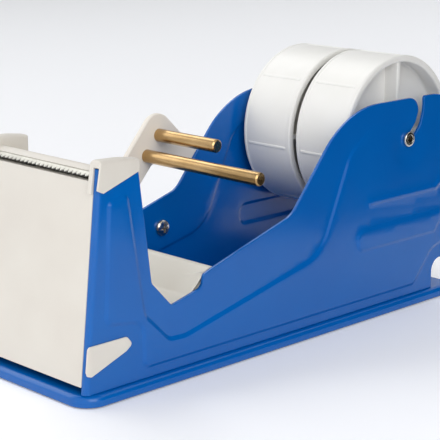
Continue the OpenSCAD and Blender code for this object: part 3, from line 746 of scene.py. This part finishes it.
def ear():
    """Moulded ear outside the panel's window; its front end is bevelled towards the fold."""
    verts, faces = slab(turned(rounded(EAR)), OUT_X + 0.02, SKIN_X, 0.42, steps=5)
    slope = np.clip(2.2 - verts[:, 1], 0, 2.2) / 2.2
    verts[:, 0] -= (verts[:, 0] - OUT_X) * 0.7 * slope
    return verts, faces


piece("moulded_head", head_shells(), HEAD, "frame", ["front_cover"], 40)


def blade_shell():
    """Serrated strip: rows across the strip, columns at every tooth's root and tip.

    The last row of columns is pushed out by the tooth's height at every second column, and
    the steel is ground thin towards the tips.
    """
    pitch, half, reach = 2.5, CAP_IN - 0.2, 1.7
    n = int(2 * half / pitch)
    x = np.concatenate([[-half], (np.arange(2 * n + 1) - n) * pitch / 2, [half]])
    tip = np.concatenate([[0.0], (np.arange(2 * n + 1) % 2) * 1.0, [0.0]])
    bite = math.radians(28)
    rows = [(16.4, 90.9, 0.8), (10.5, 90.9, 0.8), (10.1, 90.84, 0.8), (9.3, 90.42, 0.74)]
    path = [np.tile(r, (len(x), 1)) for r in rows]
    end = np.column_stack([9.1 - tip * reach * math.cos(bite), 90.26 - tip * reach * math.sin(bite),
                           0.66 - 0.5 * tip])
    path.append(end)
    path = np.stack(path)                                   # row, column, (y, z, thickness)
    top = np.stack([np.broadcast_to(x, path.shape[:2]), path[..., 0], path[..., 1]], -1)
    under = top.copy()
    under[..., 2] -= path[..., 2]
    r, c = path.shape[:2]
    ring = np.concatenate([top, under[::-1]], 0)            # closed round the strip
    k, j = np.meshgrid(np.arange(2 * r), np.arange(c - 1), indexing="ij")
    k2 = (k + 1) % (2 * r)
    quads = np.stack([k * c + j, k * c + j + 1, k2 * c + j + 1, k2 * c + j], -1).reshape(-1, 4)
    i = np.arange(r - 1)
    end = np.stack([i, i + 1, 2 * r - 2 - i, 2 * r - 1 - i], 1) * c
    return ring.reshape(-1, 3), [quads, end, end[:, ::-1] + c - 1]


piece("serrated_blade", [blade_shell()], BLADE, "frame", ["blade"], 20)

# ------------------------------------------------------------------ finger trough

SCOOP = [(28.4, 85.6, 0), (33.2, 46, 9), (45.5, 31.2, 6), (55.5, 33.4, 4), (66.5, 43.6, 3),
         (70.2, 43.2, 1.5), (71.2, 38, 0)]
half_in = IN_X - FIT
trough = [slab(wall(SCOOP, -2.0), -half_in, half_in, 0.3)]
for x in (-18, 0, 18):
    leg = np.array([[38, 5], [36, 38], [44.6, 29.6], [55.6, 32.2], [62, 37], [62, 5]])
    trough.append(slab(turned(leg), x - 1, x + 1, 0.2))
# the trough's greyer white is painted shade, for the shade it lies in between the panels
piece("finger_trough", trough, SCOOP_SHADED_WHITE, "frame", ["rear_scoop"], 40)

# ------------------------------------------------------------------ arm and rods

ARM = [(64, 25.5, 8), (56.5, 41.5, 10), (104.9, 97.2, 8.6), (138, 65.8, 8), (124, 43.5, 8),
       (109, 33.2, 8)]
ARM_WINDOW = [(102.1, 70.7, 3), (124.5, 66, 3), (121, 52.5, 3), (112, 50, 6), (78.6, 44.4, 3)]
arm = slab(turned(rounded(ARM)), -OUT_X - ARM_T, -OUT_X, 0.7, [rounded(ARM_WINDOW)], steps=5)
piece("tape_guide_arm", [arm], ARM_WHITE, "frame", ["arm_plate"], 40)


def rod(y, z, end):
    """Round bar along X with a chamfered end: the profile is turned round its axis."""
    r, chamfer, soft, dish = 3.0, 0.55, 0.15, 1.1
    profile = np.array([[-OUT_X, 0], [-OUT_X, r - 0.1], [-OUT_X + 0.1, r],
                        [end - chamfer - soft, r], [end - chamfer, r - 0.05],
                        [end - 0.08, r - chamfer],
                        [end, r - chamfer - soft], [end - 0.1, dish], [end - 0.1, 0]])
    return revolve(profile, circle_steps(64), turn_about(y, z), closed=False)


piece("guide_rod_short", [rod(106, 83.6, 1.0)], BRASS, "frame", ["short_rod"], 25)
piece("guide_rod_long", [rod(98.5, 75.0, 34.5)], BRASS, "frame", ["long_rod"], 25)

ARM_HOLES = [(105.7, 40.7), (76.0, 35.0)]


def pan_head(y, z):
    """Pan head with a cross recess: height over (r, angle) is a dome less the crossed slots."""
    radius, tall, recess = 3.8, 2.3, 1.25
    seat = -IN_X - 0.4
    a = circle_steps(96)
    rr, aa = np.meshgrid(np.concatenate([np.linspace(0, 2.6, 22), np.linspace(2.8, radius, 12)]), a)
    dome = tall * np.sqrt(np.clip(1 - (rr / (radius * 1.02)) ** 2, 0, 1)) ** 0.55
    sides = np.abs(rr * np.sin(aa)), np.abs(rr * np.cos(aa))
    across, along = np.minimum(*sides), np.maximum(*sides)
    slots = smooth((0.62 - 0.12 * along - across) / 0.18) * smooth((2.15 - along) / 0.5)
    top = stacked(dome - slots * recess - IN_X, y + rr * np.cos(aa), z + rr * np.sin(aa))
    edge = stacked(seat + 0 * a, y + radius * np.cos(a), z + radius * np.sin(a))
    middle = np.tile([[seat, y, z]], (len(a), 1))
    grid = np.concatenate([top, edge[:, None], middle[:, None]], 1)
    n = grid.shape[1]
    i, j = np.meshgrid(np.arange(len(a)), np.arange(n - 1), indexing="ij")
    i2 = (i + 1) % len(a)
    quads = np.stack([i * n + j, i * n + j + 1, i2 * n + j + 1, i2 * n + j], -1).reshape(-1, 4)
    index = np.arange(grid.shape[0] * n)
    index[0::n], index[n - 1::n] = 0, n - 1
    return grid.reshape(-1, 3), without_poles(index[quads])


def screw_shank(y, z):
    """Plain bar from under the head to its chamfered end beyond the nut."""
    r, end, under = 2.0, -42.2, -IN_X - 0.2
    profile = np.array([[end, 0], [end, r - 0.3], [end + 0.3, r], [under, r], [under, 0]])
    return revolve(profile, circle_steps(32), turn_about(y, z), closed=False)


screws = [pan_head(y, z) for y, z in ARM_HOLES] + [screw_shank(y, z) for y, z in ARM_HOLES]
piece("arm_fixing_screws", screws, NICKEL, "frame", ["arm_screws"], 40)

# ------------------------------------------------------------------ hubs, axle ends

RIDGES, RIDGE_HALF, RIDGE_TALL = 7, 0.8, 0.3
RIDGE_ANGLES = np.radians(33.7 + np.arange(RIDGES) * 360 / RIDGES)


def hub_angles():
    """Angles round the hub: an even step, and close together across every ridge."""
    even = np.radians(np.arange(0, 360, 3.0))
    across = np.array([-1.0, -0.8, -0.72, -0.6, -0.35, 0, 0.35, 0.6, 0.72, 0.8, 1.0]) / HUB_R
    ridge = (RIDGE_ANGLES[:, None] + across).ravel()
    return np.sort(np.concatenate([even[off_ridge(even) > math.radians(2.0)],
                                   ridge % (2 * math.pi)]))


def off_ridge(a):
    """Angle from each a to the nearest ridge."""
    turn = np.abs((a[..., None] - RIDGE_ANGLES + math.pi) % (2 * math.pi) - math.pi)
    return turn.min(-1)


def hub_place(sense):
    """Turns the hub's profile; on the outside of the rim each ridge adds half a round bar."""
    def place(u, r, a):
        bar = np.sqrt(np.clip(1.0 - (off_ridge(a) * HUB_R / RIDGE_HALF) ** 2, 0, 1))
        ends = smooth((u - 2.6) / 0.8) * smooth((HUB_W - 2.6 - u) / 0.8)
        r = r + np.where(r > HUB_R - 0.02, RIDGE_TALL * bar * ends, 0.0)
        return stacked(sense * (HUB_IN + u), SEAT[0] + r * np.cos(a), SEAT[1] + r * np.sin(a))
    return place


def hub_shells(sense):
    """Rim with lips, web and boss turned in one profile (u along the axle from the inner face)."""
    w, ro, ri, lip = HUB_W, HUB_R, HUB_R - HUB_RIM, HUB_R + HUB_LIP
    web0, web1 = w - HUB_RECESS - HUB_WEB, w - HUB_RECESS
    corners = [(0, HUB_BORE, 0.3), (0, BOSS_R, 0.5), (web0, BOSS_R, 0.8), (web0, ri, 0.8),
               (0, ri, 0.7), (0, lip, 0.7), (1.5, lip, 0.25), (1.75, ro, 0.25),
               (w - 1.75, ro, 0.25), (w - 1.5, lip, 0.25), (w, lip, 0.9), (w, ri, 0.9),
               (web1, ri, 0.8), (web1, BOSS_R, 0.8), (w, BOSS_R, 0.5), (w, HUB_BORE, 0.3)]
    profile = rounded(corners, step=18)
    # more points along the rim's outside, so that the ridges' ends are smooth
    end = np.array([2.3, 2.6, 2.8, 3.0, 3.2, 3.4, 3.7])
    more = np.concatenate([end, [w / 2], (w - end)[::-1]])
    at = np.where((profile[:, 1] > ro - 1e-3) & (profile[:, 0] < w / 2))[0][-1] + 1
    profile = np.vstack([profile[:at], np.column_stack([more, np.full(len(more), ro)]),
                         profile[at:]])
    ribs = [hub_rib(quarter * math.pi / 2, 0.8, w - 0.8, sense) for quarter in range(4)]
    return [revolve(profile, hub_angles(), hub_place(sense))] + ribs


def hub_rib(angle, u0, u1, sense):
    """Flat rib from the boss to the rim, on both sides of the web, with rounded edges."""
    t = HUB_WEB / 2
    outline = rounded([(u0, -t, 0.5), (u1, -t, 0.5), (u1, t, 0.5), (u0, t, 0.5)], step=18)
    r0, r1 = BOSS_R - 1.0, HUB_R - HUB_RIM + 1.0
    c, s = math.cos(angle), math.sin(angle)

    def place(p, d):
        r = r1 - d
        return np.column_stack([sense * (HUB_IN + p[:, 0]), SEAT[0] + r * c - p[:, 1] * s,
                                SEAT[1] + r * s + p[:, 1] * c])
    return plate([turned(outline)], np.array([[0.0, 0.0], [0.0, r1 - r0]]), place)


piece("core_hub_near", hub_shells(1.0), HUB, "hub_near_body", ["hub_near"], 40)
piece("core_hub_far", hub_shells(-1.0), HUB, "hub_far_body", ["hub_far"], 40)


def ring_shell(sense):
    """Riveted ring: a half-round outside, and a lip rolled over the axle's tube."""
    r, t, bore = 3.5, 1.3, 1.87
    corners = [(0, bore, 0), (0, r, 0.3), (t, r, 0.7), (t + 0.2, bore + 0.4, 0.3),
               (t - 0.1, bore, 0.1)]
    return revolve(rounded(corners, step=12), circle_steps(64),
                   turn_about(*SEAT, sense * (OUT_X + FIT), sense))


piece("axle_end_near", [ring_shell(1.0)], NICKEL, "axle_set", ["axle_ring_right"], 40)
piece("axle_end_far", [ring_shell(-1.0)], NICKEL, "axle_set", ["axle_ring_left"], 40)


def axle_shell():
    """Turned axle: full size between the panels, a thin neck in each slot, and hollow ends."""
    shoulder, end = IN_X - FIT, OUT_X + FIT + 1.45
    deep, hollow, neck, full = 5.0, 1.25, 1.85, 4.0
    half = [(end - deep, 0), (end - deep, hollow), (end, hollow), (end, neck), (shoulder, neck),
            (shoulder, full - 0.2), (shoulder - 0.2, full)]
    profile = np.array([(-u, r) for u, r in half] + half[::-1])
    return revolve(profile, circle_steps(48), turn_about(*SEAT), closed=False)


def sleeve(x0, x1, r):
    """Moulded sleeve on the axle, with softened edges."""
    profile = rounded([(x0, HUB_BORE, 0.1), (x0, r, 0.3), (x1, r, 0.3), (x1, HUB_BORE, 0.1)],
                      step=18)
    return revolve(profile, circle_steps(48), turn_about(*SEAT))


piece("turned_axle", [axle_shell()], NICKEL, "axle_set", ["axle"], 40)
out_face = HUB_IN + HUB_W + 0.1
sleeves = [sleeve(out_face, IN_X - FIT, 5.6), sleeve(FIT - IN_X, -out_face, 5.6)]
# the sleeves' grey is painted shade, for the shade round the axle's seat in the slot
piece("hub_spacers", sleeves, SPACER_SHADE_GREY, "axle_set",
      ["spacer_right", "spacer_left"], 40)


def retainer(x):
    """Spring washer pressed on a peg below the blade."""
    profile = rounded([(0, 1.5, 0), (0, 2.8, 0.15), (0.6, 2.8, 0.15), (0.6, 1.5, 0)], step=30)
    return revolve(profile, circle_steps(32), turn_upright(x, PEG_Y, BLADE_TOP - 1.4))


piece("blade_washers", [retainer(x) for x in PEG_X], ZINC, "frame",
      ["blade_retainers"], 40)

# CAD nodes whose shape is right keep it and get a finish
kept = {"ballast_plate": DARK_STEEL, "rubber_feet": RUBBER, "foot_rivets": ZINC, "arm_nuts": ZINC,
        "rod_screws": ZINC, "centre_collar": HUB}
for name, look in kept.items():
    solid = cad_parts[name]
    for mesh_slot in solid.material_slots:
        mesh_slot.material = look
    if not solid.material_slots:
        solid.data.materials.append(look)

# ------------------------------------------------------------------ floor, wall, light

def studio():
    """White table that runs up into a white wall behind: one sheet with a rounded corner."""
    wide, near, far, tall, bend = 6.0, -4.0, 3.0, 5.0, 0.8
    a = np.linspace(0, math.pi / 2, 24)
    profile = np.vstack([[[near, 0.0]], np.column_stack([far - bend + bend * np.sin(a),
                                                         bend - bend * np.cos(a)]), [[far, tall]]])
    n = len(profile)
    verts = np.vstack([np.column_stack([np.full(n, s * wide), profile]) for s in (-1, 1)])
    i = np.arange(n - 1)
    mesh = bpy.data.meshes.new("studio_sheet")
    mesh.from_pydata(verts, [], np.stack([i, i + n, i + n + 1, i + 1], 1).tolist())
    mesh.polygons.foreach_set("use_smooth", np.ones(n - 1, bool))
    m, t = new_material("matt_studio_paper")
    # a little glow for the camera, and for what metal and glass show of the sheet
    path = node(t, "LightPath")
    seen = path.outputs["Is Camera Ray"]
    for ray in ("Is Glossy Ray", "Is Transmission Ray"):
        seen = node(t, "Math", {0: seen, 1: path.outputs[ray]}, operation="MAXIMUM").outputs[0]
    place = node(t, "SeparateXYZ", {"Vector": node(t, "TexCoord").outputs["Object"]})
    # the paper is painted darker towards the far left: painted shade where the lamps' light falls
    # off
    painted_falloff_left = node(t, "MapRange", {"Value": place.outputs["X"], "From Min": -0.1,
                                    "From Max": -1.5}).outputs["Result"]
    paper = node(t, "Mix", {0: painted_falloff_left, 6: colour("#FAFAFC"), 7: colour("#CDCDCD")},
                 data_type="RGBA")
    matt = node(t, "BsdfPrincipled", {"Base Color": paper.outputs[2], "Roughness": 0.9,
                                      "Specular IOR Level": 0.1})
    glow = node(t, "Emission", {"Color": colour("#FFFFFF"), "Strength": 0.12})
    both = node(t, "AddShader", {0: matt.outputs[0], 1: glow.outputs[0]})
    mix = node(t, "MixShader", {0: seen, 1: matt.outputs[0], 2: both.outputs[0]})
    node(t, "OutputMaterial", {"Surface": mix.outputs[0]})
    mesh.materials.append(m)
    obj = bpy.data.objects.new("studio_sheet", mesh)
    bpy.context.scene.collection.objects.link(obj)


studio()


def soft_box(name, at, aim, size, watts, tint="#FFFFFF"):
    """Area lamp at a place, turned so that its -Z axis points at the aim."""
    lamp = bpy.data.lights.new(name, "AREA")
    lamp.shape, lamp.size, lamp.size_y = "RECTANGLE", size[0], size[1]
    lamp.energy, lamp.color = watts, colour(tint)[:3]
    obj = bpy.data.objects.new(name, lamp)
    obj.location = at
    obj.rotation_euler = (Vector(aim) - Vector(at)).to_track_quat("-Z", "Y").to_euler()
    bpy.context.scene.collection.objects.link(obj)


soft_box("left_box", (-1.2, -0.6, 0.8), (0, 0, 0.06), (0.9, 0.9), 3.2)
soft_box("right_box", (1.1, -0.5, 0.7), (0, 0, 0.06), (0.8, 1.0), 6.8)
sun = bpy.data.lights.new("far_window", "SUN")
sun.energy, sun.angle = 0.62, math.radians(35)
window = bpy.data.objects.new("far_window", sun)
window.rotation_euler = Vector((0.8, -0.35, -1.0)).to_track_quat("-Z", "Y").to_euler()
bpy.context.scene.collection.objects.link(window)


def black_card(name, corners):
    """Flat black card on the stage: matt, with no gloss of its own."""
    mesh = bpy.data.meshes.new(name)
    mesh.from_pydata(corners, [], [tuple(range(len(corners)))])
    m, t = new_material(name)
    matt = node(t, "BsdfPrincipled", {"Base Color": colour("#2A2A2C"), "Roughness": 1.0,
                                      "Specular IOR Level": 0.0})
    node(t, "OutputMaterial", {"Surface": matt.outputs[0]})
    mesh.materials.append(m)
    obj = bpy.data.objects.new(name, mesh)
    bpy.context.scene.collection.objects.link(obj)


# one card above takes the light that would fall straight down; the other two, out of the picture,
# are what the near panel mirrors: its upper half the one on the table, its slopes the upright one
black_card("black_card_above", [(-0.5, -0.5, 1.1), (0.5, -0.5, 1.1), (0.5, 0.5, 1.1),
                                (-0.5, 0.5, 1.1)])
black_card("black_card_aside", [(0.16, 0.155, 0.002), (0.925, -0.61, 0.002), (1.3, -0.61, 0.002),
                                (1.3, 1.2, 0.002), (0.16, 1.2, 0.002)])
black_card("black_card_upright", [(0.15, 1.35, 0.0), (1.35, 0.15, 0.0), (1.35, 0.15, 1.1),
                                  (0.15, 1.35, 1.1)])

world = bpy.data.worlds.new("white_room")
world.use_nodes = True
world.node_tree.nodes.clear()
back = node(world.node_tree, "Background", {"Color": colour("#F6F8FB"), "Strength": 0.98})
node(world.node_tree, "OutputWorld", {"Surface": back.outputs[0]})
bpy.context.scene.world = world

# ------------------------------------------------------------------ camera

# solved from the photo: degrees round and up, focal length and width in its pixels, and the place
AZIMUTH, ELEVATION, FOCAL_PX, FRAME_PX = math.radians(45.45), math.radians(13.72), 1486.31, 440
CAMERA_AT = [455.17, -339.63, 205.92]
right_dir = Vector((math.cos(AZIMUTH), math.sin(AZIMUTH), 0))
level, rise = math.cos(ELEVATION), math.sin(ELEVATION)
back_dir = Vector((math.sin(AZIMUTH) * level, -math.cos(AZIMUTH) * level, rise))
lens = bpy.data.cameras.new("camera")
lens.sensor_width = 36.0
lens.lens = FOCAL_PX / FRAME_PX * lens.sensor_width
lens.clip_start, lens.clip_end = 0.01, 50.0
camera = bpy.data.objects.new("camera", lens)
pose = Matrix((right_dir, back_dir.cross(right_dir), back_dir)).transposed().to_4x4()
pose.translation = Vector(to_row(CAMERA_AT))
camera.matrix_world = pose
bpy.context.scene.collection.objects.link(camera)
bpy.context.scene.camera = camera
bpy.context.scene.view_settings.view_transform = "Standard"
